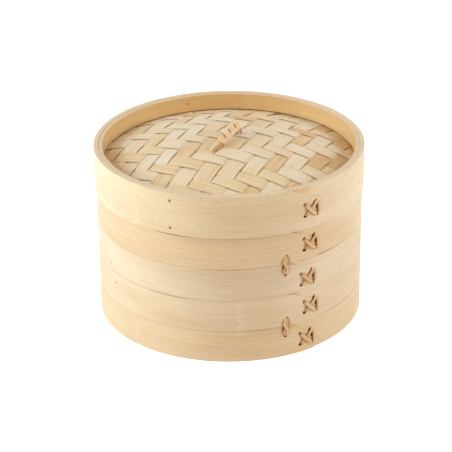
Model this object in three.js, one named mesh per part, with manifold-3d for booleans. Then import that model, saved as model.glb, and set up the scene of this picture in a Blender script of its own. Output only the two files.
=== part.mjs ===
// Two-tier bamboo steamer with a woven, domed lid.
// Millimetres, +Z up, origin at the middle of the foot circle. The front of the steamer faces -Y,
// and an azimuth is counted in degrees from the front towards +X.
import * as THREE from 'three';
import { mergeVertices } from 'three/addons/utils/BufferGeometryUtils.js';
import Module from 'manifold-3d';

const wasm = await Module();
wasm.setup();

// ---- Driving dimensions ------------------------------------------------------------------------

const FIT = 0.3; // clearance between two bamboo pieces that touch
const SIDES = 60; // flats round every hoop
const CUT = 5; // how far a cutting tool runs past the face that it opens

// Basket wall
const BAND_OUTER_R = 125.6;
const BAND_T = 4.2;
const BAND_H = 31.2;
const INNER_T = 3.5;
const LIP_H = 3; // how far the inner hoop stands above the bands, to locate what is stacked on it
const LIP_CLEAR = 0.6; // vertical room above that lip

// Where the outer strip of a band ends, over its own first turn
const LAP_STEP = 0.8;
const LAP_PAST_LACE = 2.5; // past the right-hand holes of its lacing
const LAP_RAMP = 44; // degrees over which the strip beneath comes back out

// Slatted base
const BASE_RING_H = 6.6;
const BAR_H = 3;
const BAR_W = 14;
const BAR_OFFSET = 40;
const SLAT_T = 2.5;
const SLAT_COUNT = 9;
const SLAT_GAP = 5;
const SLAT_MARGIN = 5.5; // from the outermost slat to the wall

// Lid
const LID_SLACK = 1.7; // radial play of the lid round the basket's lip
const LID_HOOP_T = 4.2;
const LID_H = 40.5;
const LINER_T = 3.6;
const LINER_DROP = 0.4; // rim liner below the hoop's top edge
const WEAVE_DEPTH = 16.5; // edge of the weave below the hoop's top edge
const WEAVE_T = 1.8;
const WEAVE_RISE = 19;
const LINING_T = 1.2;
const DOME_RINGS = 5; // flats from the middle of the dome to its rim

// Handle: a cane arch bound with rattan, keyed under the lid with a stick
const HANDLE_AZIMUTH = 147; // the way its far end points
const HANDLE_SHIFT = [-1, -3]; // tied on by hand, a little off the middle
const HANDLE_SPAN = 38;
const HANDLE_HEIGHT = 9.3; // centre line above the weave
const HANDLE_OUTER_R = 4.7;
const CORE_R = 3;
const CANE_STEPS = 26; // along the arch
const CANE_SIDES = 5; // in each half of its section
const KEY_R = 1.5;
const KEY_LENGTH = 52;
const KEY_END = 1.8; // cane below the key stick

// Rattan lacing
const LACE_T = 1.1;
const LACE_W = 2.6;
const LACE_SPREAD = 15; // between the two rows of holes
const LACE_TALL_LEFT = 11;
const LACE_TALL_RIGHT = 16;
const HOLE_H = 1.8;
const GROOVE_DEPTH = 1.7;
const LOW_LACE_DROP = 1; // below the middle of its band, in the lower basket and the lid
const UPPER_LOW_LACE_DROP = 2.5;
const UPPER_HIGH_LACE_RISE = 1; // above the middle of its band
const TIE_TALL = 19;
const TIE_LEAN = 3.6;

// Pegs
const PEG_R = 1.1;
const PEG_PROUD = 0.2;
const PEG_SIDES = 10;
const PEG_DROP = 10; // below the top edge of a basket's bands

// Where the lacing, the ties and the pegs are: azimuths, and heights in their own basket or the lid
const LOWER_TRIM = {
  lowLace: { azimuth: 34.2, height: BAND_H / 2 - LOW_LACE_DROP },
  highLace: { azimuth: 36.1, height: 1.5 * BAND_H },
  ties: [23.6, 203.6],
  hoopPegs: [-57.5, 122.5],
  ringPegs: [178],
};
const UPPER_TRIM = {
  lowLace: { azimuth: 34.4, height: BAND_H / 2 - UPPER_LOW_LACE_DROP },
  highLace: { azimuth: 35.7, height: 1.5 * BAND_H + UPPER_HIGH_LACE_RISE },
  ties: [23.4, 203.4],
  hoopPegs: [178],
  ringPegs: [-62, 118],
};
const LID_LACE = { azimuth: 35.5, height: LID_H / 2 - LOW_LACE_DROP };
const LID_PEG_AZIMUTHS = [-24.7, 88, 200];
const LID_PEG_LOW = 6.2;
const LID_PEG_HIGH = 32.5;

// ---- Sizes that follow -------------------------------------------------------------------------

const bandInnerR = BAND_OUTER_R - BAND_T;
const innerOuterR = bandInnerR - FIT;
const innerInnerR = innerOuterR - INNER_T;
const tierPitch = 2 * BAND_H + 2 * FIT;
const ringBottom = LIP_H + LIP_CLEAR;
const ringTop = ringBottom + BASE_RING_H;
const slatBottom = ringTop + FIT;
const slatTop = slatBottom + SLAT_T;
const hoopBottom = slatTop + FIT;
const hoopTop = 2 * BAND_H + FIT + LIP_H;
const slatWidth = (2 * (innerInnerR - SLAT_MARGIN) - (SLAT_COUNT - 1) * SLAT_GAP) / SLAT_COUNT;

const lidInnerR = innerOuterR + LID_SLACK;
const lidOuterR = lidInnerR + LID_HOOP_T;
const linerOuterR = lidInnerR - FIT;
const linerInnerR = linerOuterR - LINER_T;
const lidZ = 2 * tierPitch;
const weaveTop = LID_H - WEAVE_DEPTH;
const weaveBottom = weaveTop - WEAVE_T;
const liningTop = weaveBottom - FIT;
const liningBottom = liningTop - LINING_T;
const lowerLinerBottom = LIP_H + LIP_CLEAR;
const lowerLinerTop = liningBottom - FIT;
const crown = weaveTop + WEAVE_RISE;
const liningCrown = liningBottom + WEAVE_RISE;

// ---- Colours and finishes ----------------------------------------------------------------------

const finishes = {
  outerBamboo: { color: 0xe6cda2, roughness: 0.5 },
  innerBamboo: { color: 0xd9b078, roughness: 0.6 },
  slats: { color: 0xdfc393, roughness: 0.65 },
  weave: { color: 0xe3cfa8, roughness: 0.55 },
  rattan: { color: 0xd2a36a, roughness: 0.5 },
  pegs: { color: 0x94703f, roughness: 0.7 },
};

const steamer = new THREE.Group();

function piece(parent, name, finish, geometry) {
  const material = new THREE.MeshStandardMaterial({ ...finishes[finish], metalness: 0 });
  const mesh = new THREE.Mesh(geometry, material);
  mesh.name = name;
  parent.add(mesh);
  return mesh;
}

// ---- Solid helpers -----------------------------------------------------------------------------

function solid(geometry) {
  const bare = geometry.clone();
  bare.deleteAttribute('normal');
  bare.deleteAttribute('uv');
  const merged = mergeVertices(bare, 1e-4);
  const vertProperties = new Float32Array(merged.attributes.position.array);
  const triVerts = new Uint32Array(merged.index.array);
  return new wasm.Manifold(new wasm.Mesh({ numProp: 3, vertProperties, triVerts }));
}

function geometryOf(manifold) {
  const mesh = manifold.getMesh();
  const geometry = new THREE.BufferGeometry();
  geometry.setAttribute('position', new THREE.BufferAttribute(mesh.vertProperties, 3));
  geometry.setIndex(new THREE.BufferAttribute(mesh.triVerts, 1));
  geometry.computeVertexNormals();
  return geometry;
}

function joined(geometries) {
  return geometries.map(solid).reduce((whole, next) => whole.add(next));
}

function cut(geometry, tools) {
  return geometryOf(tools.reduce((body, tool) => body.subtract(solid(tool)), solid(geometry)));
}

// A ring with a rectangular section.
function ring(innerR, outerR, bottom, top) {
  const corners = [[innerR, bottom], [outerR, bottom], [outerR, top], [innerR, top], [innerR, bottom]];
  const profile = corners.map(([r, z]) => new THREE.Vector2(r, z));
  return new THREE.LatheGeometry(profile, SIDES).rotateX(Math.PI / 2);
}

function disc(radius, bottom, top) {
  const corners = [[0, bottom], [radius, bottom], [radius, top], [0, top]];
  const profile = corners.map(([r, z]) => new THREE.Vector2(r, z));
  return new THREE.LatheGeometry(profile, SIDES).rotateX(Math.PI / 2);
}

// A box between two corners.
function block(low, high) {
  const size = high.map((value, axis) => value - low[axis]);
  const middle = high.map((value, axis) => (value + low[axis]) / 2);
  return new THREE.BoxGeometry(...size).translate(...middle);
}

// Turns what was built at the front of the steamer to an azimuth.
function turned(geometry, azimuth) {
  return geometry.rotateZ(THREE.MathUtils.degToRad(azimuth));
}

// ---- Bands with a lapped end -------------------------------------------------------------------

// A hoop bent from one strip whose outer end stops at lapEnd, just past its lacing.
function lappedHoop(innerR, outerR, bottom, top, lapEnd) {
  const step = 360 / SIDES;
  const outline = [];
  for (let side = 0; side < SIDES; side += 1) {
    const azimuth = side * step;
    const past = THREE.MathUtils.euclideanModulo(azimuth - lapEnd, 360);
    const sunk = LAP_STEP * Math.max(0, 1 - past / LAP_RAMP);
    if (past < step) {
      outline.push([lapEnd, outerR], [lapEnd, outerR - LAP_STEP]);
    }
    outline.push([azimuth, outerR - sunk]);
  }
  const at = ([azimuth, r]) => {
    const angle = THREE.MathUtils.degToRad(azimuth);
    return new THREE.Vector2(r * Math.sin(angle), -r * Math.cos(angle));
  };
  const shape = new THREE.Shape(outline.map(at));
  const inside = Array.from({ length: SIDES }, (_, side) => at([side * step, innerR]));
  shape.holes.push(new THREE.Path(inside));
  const depth = top - bottom;
  return new THREE.ExtrudeGeometry(shape, { depth, bevelEnabled: false }).translate(0, 0, bottom);
}

// ---- Rattan lacing and pegs --------------------------------------------------------------------

// A flat strip on a wall of radius wallR at the front, from one point (across, height) to another.
function strip(wallR, from, to) {
  const across = to[0] - from[0];
  const up = to[1] - from[1];
  const length = Math.hypot(across, up) + LACE_W;
  const bar = new THREE.BoxGeometry(length, LACE_T, LACE_W).rotateY(-Math.atan2(up, across));
  const out = wallR + FIT + LACE_T / 2;
  return bar.translate((from[0] + to[0]) / 2, -out, (from[1] + to[1]) / 2);
}

// The stretch of lace through a wall, and the hole for it.
function leg(innerR, outerR, [across, height]) {
  const half = [LACE_W / 2, HOLE_H / 2];
  return block(
    [across - half[0], -(outerR + FIT + LACE_T), height - half[1]],
    [across + half[0], -(innerR + FIT), height + half[1]],
  );
}

function legHole(innerR, outerR, [across, height]) {
  const half = [LACE_W / 2 + FIT, HOLE_H / 2 + FIT];
  return block(
    [across - half[0], -(outerR + CUT), height - half[1]],
    [across + half[0], -(innerR - CUT), height + half[1]],
  );
}

// The stretch of lace behind the wall, in a groove, between two holes one above the other.
function backRun(innerR, across, low, high) {
  return block(
    [across - LACE_W / 2, -(innerR + GROOVE_DEPTH - FIT), low - HOLE_H / 2],
    [across + LACE_W / 2, -(innerR + FIT), high + HOLE_H / 2],
  );
}

function groove(innerR, across, low, high) {
  return block(
    [across - LACE_W / 2 - FIT, -(innerR + GROOVE_DEPTH), low - HOLE_H / 2 - FIT],
    [across + LACE_W / 2 + FIT, -(innerR - CUT), high + HOLE_H / 2 + FIT],
  );
}

// A cross stitch with an upright on its right, that sews down the end of a band.
function crossLace(innerR, outerR, azimuth, height) {
  const left = -LACE_SPREAD / 2;
  const right = LACE_SPREAD / 2;
  const leftHoles = [height - LACE_TALL_LEFT / 2, height + LACE_TALL_LEFT / 2];
  const rightHoles = [height - LACE_TALL_RIGHT / 2, height + LACE_TALL_RIGHT / 2];
  const holes = [
    ...leftHoles.map((z) => [left, z]),
    ...rightHoles.map((z) => [right, z]),
  ];
  const strips = [
    strip(outerR, [left, leftHoles[1]], [right, rightHoles[0]]),
    strip(outerR, [left, leftHoles[0]], [right, rightHoles[1]]),
    strip(outerR, [right, rightHoles[0]], [right, rightHoles[1]]),
  ];
  const lace = [
    ...strips,
    ...holes.map((hole) => leg(innerR, outerR, hole)),
    backRun(innerR, left, ...leftHoles),
    backRun(innerR, right, ...rightHoles),
  ];
  const tools = [
    ...holes.map((hole) => legHole(innerR, outerR, hole)),
    groove(innerR, left, ...leftHoles),
    groove(innerR, right, ...rightHoles),
  ];
  return {
    lace: turned(geometryOf(joined(lace)), azimuth),
    tools: tools.map((tool) => turned(tool, azimuth)),
  };
}

// A figure of eight that ties two bands together across their seam.
function seamTie(innerR, outerR, azimuth, seam) {
  const low = seam - TIE_TALL / 2;
  const high = seam + TIE_TALL / 2;
  const lean = TIE_LEAN / 2;
  const lace = [
    strip(outerR, [-lean, low], [lean, high]),
    strip(outerR, [lean, low], [-lean, high]),
    leg(innerR, outerR, [0, low]),
    leg(innerR, outerR, [0, high]),
    backRun(innerR, 0, low, high),
  ];
  const tools = [
    legHole(innerR, outerR, [0, low]),
    legHole(innerR, outerR, [0, high]),
    groove(innerR, 0, low, high),
  ];
  return {
    lace: turned(geometryOf(joined(lace)), azimuth),
    tools: tools.map((tool) => turned(tool, azimuth)),
  };
}

function radialRod(radius, innerR, outerR, azimuth, height) {
  const rod = new THREE.CylinderGeometry(radius, radius, outerR - innerR, PEG_SIDES);
  return turned(rod.translate(0, -(innerR + outerR) / 2, height), azimuth);
}

// A peg through a hoop and what lies inside it, and the drill for its hole.
function pegSet(innerR, outerR, azimuth, height) {
  return {
    peg: radialRod(PEG_R, innerR, outerR + PEG_PROUD, azimuth, height),
    drill: radialRod(PEG_R + FIT, innerR - CUT, outerR + CUT, azimuth, height),
  };
}

// ---- One basket --------------------------------------------------------------------------------

function basket(name, bottomZ, { lowLace, highLace, ties, hoopPegs, ringPegs }) {
  const tier = new THREE.Group();
  tier.position.z = bottomZ;
  steamer.add(tier);

  const seam = BAND_H + FIT / 2;
  const lapPast = THREE.MathUtils.radToDeg((LACE_SPREAD / 2 + LAP_PAST_LACE) / BAND_OUTER_R);
  const lowCross = crossLace(bandInnerR, BAND_OUTER_R, lowLace.azimuth, lowLace.height);
  const highCross = crossLace(bandInnerR, BAND_OUTER_R, highLace.azimuth, highLace.height);
  const tieSets = ties.map((azimuth) => seamTie(bandInnerR, BAND_OUTER_R, azimuth, seam));
  const pegAt = (height) => (azimuth) => pegSet(innerInnerR, BAND_OUTER_R, azimuth, height);
  const pegSets = [
    ...hoopPegs.map(pegAt(2 * BAND_H + FIT - PEG_DROP)),
    ...ringPegs.map(pegAt((ringBottom + ringTop) / 2)),
  ];
  const tieTools = tieSets.flatMap(({ tools }) => tools);
  const drills = pegSets.map(({ drill }) => drill);

  const lowBand = lappedHoop(bandInnerR, BAND_OUTER_R, 0, BAND_H, lowLace.azimuth + lapPast);
  const highBand = lappedHoop(
    bandInnerR,
    BAND_OUTER_R,
    BAND_H + FIT,
    2 * BAND_H + FIT,
    highLace.azimuth + lapPast,
  );
  const lowTools = [...lowCross.tools, ...tieTools, ...drills];
  const highTools = [...highCross.tools, ...tieTools, ...drills];
  piece(tier, `${name}_bottom_band`, 'outerBamboo', cut(lowBand, lowTools));
  piece(tier, `${name}_top_band`, 'outerBamboo', cut(highBand, highTools));
  piece(tier, `${name}_bottom_lacing`, 'rattan', lowCross.lace);
  piece(tier, `${name}_top_lacing`, 'rattan', highCross.lace);
  tieSets.forEach(({ lace }, index) => piece(tier, `${name}_seam_tie_${index + 1}`, 'rattan', lace));
  pegSets.forEach(({ peg }, index) => piece(tier, `${name}_peg_${index + 1}`, 'pegs', peg));

  const innerHoop = ring(innerInnerR, innerOuterR, hoopBottom, hoopTop);
  piece(tier, `${name}_inner_hoop`, 'innerBamboo', cut(innerHoop, drills));

  const wall = solid(disc(innerOuterR, ringBottom, slatTop));
  const notches = [];
  [-1, 1].forEach((side, index) => {
    const middle = side * BAR_OFFSET;
    const low = middle - BAR_W / 2;
    const high = middle + BAR_W / 2;
    const bar = block([-BAND_OUTER_R, low, ringTop - BAR_H], [BAND_OUTER_R, high, ringTop]);
    notches.push(block(
      [-BAND_OUTER_R, low - FIT, ringTop - BAR_H - FIT],
      [BAND_OUTER_R, high + FIT, ringTop + CUT],
    ));
    piece(tier, `${name}_cross_bar_${index + 1}`, 'slats', geometryOf(solid(bar).intersect(wall)));
  });
  const baseRing = ring(innerInnerR, innerOuterR, ringBottom, ringTop);
  piece(tier, `${name}_base_ring`, 'innerBamboo', cut(baseRing, [...notches, ...drills]));

  for (let index = 0; index < SLAT_COUNT; index += 1) {
    const middle = (index - (SLAT_COUNT - 1) / 2) * (slatWidth + SLAT_GAP);
    const slat = block(
      [middle - slatWidth / 2, -BAND_OUTER_R, slatBottom],
      [middle + slatWidth / 2, BAND_OUTER_R, slatTop],
    );
    piece(tier, `${name}_slat_${index + 1}`, 'slats', geometryOf(solid(slat).intersect(wall)));
  }
}

basket('lower', 0, LOWER_TRIM);
basket('upper', tierPitch, UPPER_TRIM);

// ---- Lid ---------------------------------------------------------------------------------------

const lid = new THREE.Group();
lid.position.z = lidZ;
steamer.add(lid);

const lidCross = crossLace(lidInnerR, lidOuterR, LID_LACE.azimuth, LID_LACE.height);
const lidPegs = LID_PEG_AZIMUTHS.flatMap((azimuth) => [LID_PEG_LOW, LID_PEG_HIGH].map(
  (height) => pegSet(linerInnerR, lidOuterR, azimuth, height),
));
const lidDrills = lidPegs.map(({ drill }) => drill);
const lidLapPast = THREE.MathUtils.radToDeg((LACE_SPREAD / 2 + LAP_PAST_LACE) / lidOuterR);
const lidHoop = lappedHoop(lidInnerR, lidOuterR, 0, LID_H, LID_LACE.azimuth + lidLapPast);
piece(lid, 'lid_outer_hoop', 'outerBamboo', cut(lidHoop, [...lidCross.tools, ...lidDrills]));
piece(lid, 'lid_lacing', 'rattan', lidCross.lace);
lidPegs.forEach(({ peg }, index) => piece(lid, `lid_peg_${index + 1}`, 'pegs', peg));

const rimLiner = ring(linerInnerR, linerOuterR, weaveTop + FIT, LID_H - LINER_DROP);
piece(lid, 'lid_rim_liner', 'innerBamboo', cut(rimLiner, lidDrills));
const lowerLiner = ring(linerInnerR, linerOuterR, lowerLinerBottom, lowerLinerTop);
piece(lid, 'lid_lower_liner', 'innerBamboo', cut(lowerLiner, lidDrills));

// A domed panel with a flat rim that is held between the two liners.
function domedPanel(rimBottom, rimTop) {
  const share = Array.from({ length: DOME_RINGS }, (_, index) => index / DOME_RINGS);
  const rise = (fraction) => WEAVE_RISE * (1 - fraction * fraction);
  const over = share.map((f) => new THREE.Vector2(f * linerInnerR, rimTop + rise(f)));
  const under = share.map((f) => new THREE.Vector2(f * linerInnerR, rimBottom + rise(f)));
  const rim = [
    new THREE.Vector2(linerInnerR, rimBottom),
    new THREE.Vector2(linerOuterR, rimBottom),
    new THREE.Vector2(linerOuterR, rimTop),
    new THREE.Vector2(linerInnerR, rimTop),
  ];
  const profile = [...under, ...rim, ...over.reverse()];
  return new THREE.LatheGeometry(profile, SIDES).rotateX(Math.PI / 2);
}

// ---- Handle ------------------------------------------------------------------------------------

const keyZ = liningCrown - KEY_R - 4 * FIT;
const coreBottom = keyZ - KEY_R - FIT - KEY_END;

// An upright leg, half an ellipse and another leg, in the XZ plane.
class Arch extends THREE.Curve {
  constructor(legBottom) {
    super();
    this.legBottom = legBottom;
  }

  getPoint(t) {
    const leg = crown - this.legBottom;
    const bow = Math.PI * Math.sqrt(((HANDLE_SPAN / 2) ** 2 + HANDLE_HEIGHT ** 2) / 2);
    const along = t * (2 * leg + bow);
    if (along < leg) {
      return new THREE.Vector3(-HANDLE_SPAN / 2, 0, this.legBottom + along);
    }
    if (along > leg + bow) {
      return new THREE.Vector3(HANDLE_SPAN / 2, 0, crown - (along - leg - bow));
    }
    const angle = Math.PI * (1 - (along - leg) / bow);
    return new THREE.Vector3(
      (HANDLE_SPAN / 2) * Math.cos(angle),
      0,
      crown + HANDLE_HEIGHT * Math.sin(angle),
    );
  }
}

const handle = new THREE.Group();
handle.rotation.z = THREE.MathUtils.degToRad(HANDLE_AZIMUTH - 90);
handle.position.set(...HANDLE_SHIFT, 0);
lid.add(handle);

function caneTube(path, outerR, holeR) {
  const section = new THREE.Shape().absarc(0, 0, outerR, 0, 2 * Math.PI);
  if (holeR) {
    section.holes.push(new THREE.Path().absarc(0, 0, holeR, 0, 2 * Math.PI, true));
  }
  const settings = { steps: CANE_STEPS, curveSegments: CANE_SIDES, extrudePath: path, bevelEnabled: false };
  return new THREE.ExtrudeGeometry(section, settings);
}

const keyHole = new THREE.CylinderGeometry(KEY_R + FIT, KEY_R + FIT, KEY_LENGTH, PEG_SIDES);
keyHole.rotateZ(Math.PI / 2).translate(0, 0, keyZ);
const core = caneTube(new Arch(coreBottom), CORE_R);
piece(handle, 'lid_handle_core', 'rattan', cut(core, [keyHole]));
const binding = caneTube(new Arch(crown), HANDLE_OUTER_R, CORE_R + FIT);
piece(handle, 'lid_handle_binding', 'rattan', binding);
const key = new THREE.CylinderGeometry(KEY_R, KEY_R, KEY_LENGTH, PEG_SIDES);
key.rotateZ(Math.PI / 2).translate(0, 0, keyZ);
piece(handle, 'lid_handle_key', 'pegs', key);

const coreHoles = [-HANDLE_SPAN / 2, HANDLE_SPAN / 2].map((x) => {
  const drill = new THREE.CylinderGeometry(CORE_R + FIT, CORE_R + FIT, WEAVE_RISE, 2 * PEG_SIDES);
  drill.rotateX(Math.PI / 2).translate(x, 0, crown - WEAVE_RISE / 4);
  return turned(drill, HANDLE_AZIMUTH - 90).translate(...HANDLE_SHIFT, 0);
});
piece(lid, 'lid_woven_top', 'weave', cut(domedPanel(weaveBottom, weaveTop), coreHoles));
piece(lid, 'lid_woven_lining', 'weave', cut(domedPanel(liningBottom, liningTop), coreHoles));

export default steamer;
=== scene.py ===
"""A two-tier bamboo steamer with a woven, domed lid: the finish of every piece.

Metres, +Z up, the front faces -Y. An azimuth counts degrees from the front towards +X.
"""
from bisect import bisect
from functools import partial, partialmethod
from math import atan2, copysign, cos, degrees, hypot, pi, radians, sin, sqrt, tau

import bmesh
import bpy
from mathutils import Matrix, Vector
from mathutils.geometry import interpolate_bezier


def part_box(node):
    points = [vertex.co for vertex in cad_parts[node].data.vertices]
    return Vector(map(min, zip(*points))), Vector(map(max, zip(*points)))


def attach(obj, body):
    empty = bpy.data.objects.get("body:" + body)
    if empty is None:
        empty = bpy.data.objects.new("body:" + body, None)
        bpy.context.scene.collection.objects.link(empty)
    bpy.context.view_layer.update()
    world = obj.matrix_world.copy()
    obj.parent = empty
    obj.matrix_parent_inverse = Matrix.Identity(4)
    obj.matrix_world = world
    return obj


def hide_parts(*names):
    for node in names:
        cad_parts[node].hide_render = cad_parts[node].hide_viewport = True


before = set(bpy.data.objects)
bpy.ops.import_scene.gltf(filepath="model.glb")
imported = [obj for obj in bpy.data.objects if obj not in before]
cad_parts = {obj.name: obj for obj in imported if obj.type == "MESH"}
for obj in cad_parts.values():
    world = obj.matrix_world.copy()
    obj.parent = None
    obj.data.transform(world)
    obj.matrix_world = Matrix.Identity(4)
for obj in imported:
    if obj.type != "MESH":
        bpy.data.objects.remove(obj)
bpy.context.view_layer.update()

MM = 0.001

# ---- Sizes ----

FIT = 0.3 * MM
HOOP_STEPS = 372
EDGE_ROUND = 0.22 * MM
ALL_ROUND = 9999  # a gap's spread in degrees that makes it even round the whole hoop

# The liners: bent strips whose two ends meet.
INNER_T = 3.5 * MM
LINER_T = 3.6 * MM
BUTT_GAP = 0.12 * MM
SNUG = 0.22 * MM  # how much of its clearance the lid's liner takes up, being driven tight

# The bands: strips that overlap themselves. Lengths are along the wall, SCARF and RAMP in degrees.
EDGE_GROWTH = 0.1  # each band reaches this much over its drawn edge, in millimetres
LAP_STEP = 0.8 * MM  # how thin the outer end is shaved, and how deep it is let in
LAP_PAST_LACE = 8.4 * MM
LAP_LENGTH = 34 * MM
LAP_RAMP = 44
TAPER_LENGTH = 34 * MM
TAPER_DROP = 12 * MM
START_EDGE = 0.35 * MM  # how thin the strip's start is shaved
START_REACH = 1.5
SCARF = 6
LOOSE = 0.05 * MM

# Waves round a hoop: how many, how high, and how far a seed turns them.
WAVES = ((1, 0.5, 2.1), (2, 0.35, 3.7), (5, 0.25, 5.3), (11, 0.12, 1.9))

LACE_W = 3.9 * MM
LACE_T = 1.3 * MM
LACE_SEAT = 0.42 * LACE_T  # from the wall to a lace's middle
LACE_STEPS = 34
HOLE_DEPTH = 3.4 * MM
DRILL_PROUD = 3 * MM

SLAT_STEPS = 24
SLAT_ROUND = 0.4 * MM
SLAT_COUNT = 9
NOTCH_TALL = 10 * MM  # how much higher than its cross bar a notch is cut

STRAND_SIDES = 12
ROD_SIDES = 16
KEY_SIDES = 20
PEG_R = 1.08 * MM
PEG_HOLE_R = 1.28 * MM
PEG_HOLE_DEPTH = 2.5 * MM
PEG_PROUD = 0.12 * MM

STRIP_T = 0.5 * MM
STRIP_GAP = 0.6 * MM
LEAST_GAP = 0.12  # as a share of the gap
STRIP_WAVER = 0.8  # as a share of the gap too
STRIP_CROWN = 0.14 * MM
STRIP_STEP = 0.9 * MM
STRIP_SWING = 0.6 * MM
STRIP_TURN = 5.0 * MM
STRIP_SHIFT = 1.5 * MM
DRAWN_TOP_T = 1.8 * MM
DRAWN_LINING_T = 1.2 * MM
LINING_T = 0.4 * MM
LINING_SWING = 0.35 * MM
WEAVE_REACH = 2.6 * MM  # how far the woven panels go in between the lid's liners
TUCK_DEPTH = 0.55 * MM  # near the rim the panels dip this much, from TUCK_START over TUCK_RUN
TUCK_START = 6 * MM
TUCK_RUN = 5 * MM
FLATTEN = 0.6  # and their weave lies this much flatter, over FLATTEN_RUN
FLATTEN_RUN = 8 * MM

HANDLE_AZIMUTH = 147
HANDLE_SPAN = 43 * MM
HANDLE_ASIDE = 1.5 * MM
WRAP_R = 3.7 * MM
WRAP_EDGES = (0.1, 0.31, 0.49, 0.69, 0.84)
WRAP_TONES = (0.3, 0.25, 0.35, 0.3)
WRAP_GAP = 1.0 * MM
WRAP_LEAN = 0.65
CANE_W = 2.8 * MM
CANE_T = 2.2 * MM
CANE_ASIDE = 0.8 * MM  # from the handle's line to each of its three canes
FOOT_W = 2.4 * MM
FOOT_T = 1.5 * MM
LAID_T = 3.0 * MM
# Where things start and end, as shares of the handle's length.
CANE_SHARES = (0.26, 0.8)
FOOT_SHARES = (0.2, 0.8)
LAID_SHARES = (0.12, 0.8)
# The handle's line as two curves: shares of its span and of its height.
ARCH_CORNERS = (
    (0.0, 0.0), (0.0, 0.45), (0.25, 0.6), (0.74, 1.0), (0.82, 1.06), (0.88, 0.7), (0.9, 0.0),
)
ARCH_STEPS = 40


def box_of(node):
    low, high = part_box(node)
    return Vector(low), Vector(high)


def outer_radius(node):
    return box_of(node)[1].x


def middle_of(node):
    low, high = box_of(node)
    return (low + high) / 2


def azimuth_of(node):
    middle = middle_of(node)
    return degrees(atan2(middle.x, -middle.y))


def middle_height(node):
    low, high = box_of(node)
    return (low.z + high.z) / 2


# ---- Shader maths ----


class Value:
    """A number that varies over a surface; arithmetic on it adds Math nodes."""

    def __init__(self, nodes, socket):
        self.nodes = nodes
        self.socket = socket

    def math(self, operation, *others):
        return self.nodes.math(operation, self, *others)

    __add__ = __radd__ = partialmethod(math, "ADD")
    __mul__ = __rmul__ = partialmethod(math, "MULTIPLY")
    __sub__ = partialmethod(math, "SUBTRACT")
    __truediv__ = partialmethod(math, "DIVIDE")
    __pow__ = partialmethod(math, "POWER")
    __abs__ = partialmethod(math, "ABSOLUTE")

    def __rsub__(self, other):
        return self.nodes.math("SUBTRACT", other, self)

    def clamped(self):
        return self.math("MAXIMUM", 0).math("MINIMUM", 1)

    def between(self, low, high):
        """0 below low, 1 above high, and smooth from one to the other."""
        sockets = {"Value": self, "From Min": low, "From Max": high}
        kind = "ShaderNodeMapRange"
        node = self.nodes.node(kind, {"interpolation_type": "SMOOTHSTEP"}, sockets)
        return Value(self.nodes, node.outputs["Result"])


# A Mix node's factor, its two colours and their mixture, among sockets that share their names.
MIX_SOCKETS = (0, 6, 7)
MIX_RESULT = 2


class Nodes:
    """A node tree that is built up by calls."""

    def __init__(self, tree):
        self.tree = tree

    def node(self, kind, settings=None, sockets=None):
        node = self.tree.nodes.new(kind)
        for name, setting in (settings or {}).items():
            if name == "stops":
                self.set_stops(node.color_ramp, setting)
            else:
                setattr(node, name, setting)
        for name, source in (sockets or {}).items():
            self.feed(node.inputs[name], source)
        return node

    @staticmethod
    def set_stops(ramp, stops):
        while len(ramp.elements) < len(stops):
            ramp.elements.new(0.5)
        for element, (position, colour) in zip(ramp.elements, stops):
            element.position = position
            element.color = (*colour, 1.0)

    def feed(self, socket, source):
        if isinstance(source, Value):
            source = source.socket
        if isinstance(source, bpy.types.NodeSocket):
            self.tree.links.new(source, socket)
        elif socket.type == "RGBA" and len(source) == 3:
            socket.default_value = (*source, 1.0)
        else:
            socket.default_value = source

    def math(self, operation, *terms):
        node = self.node("ShaderNodeMath", {"operation": operation}, dict(enumerate(terms)))
        return Value(self, node.outputs[0])

    def seen_by(self, *rays):
        """1 for what such a ray sees, and 0 for what others do."""
        path = self.node("ShaderNodeLightPath")
        return sum(Value(self, path.outputs[f"Is {ray} Ray"]) for ray in rays).clamped()


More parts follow.
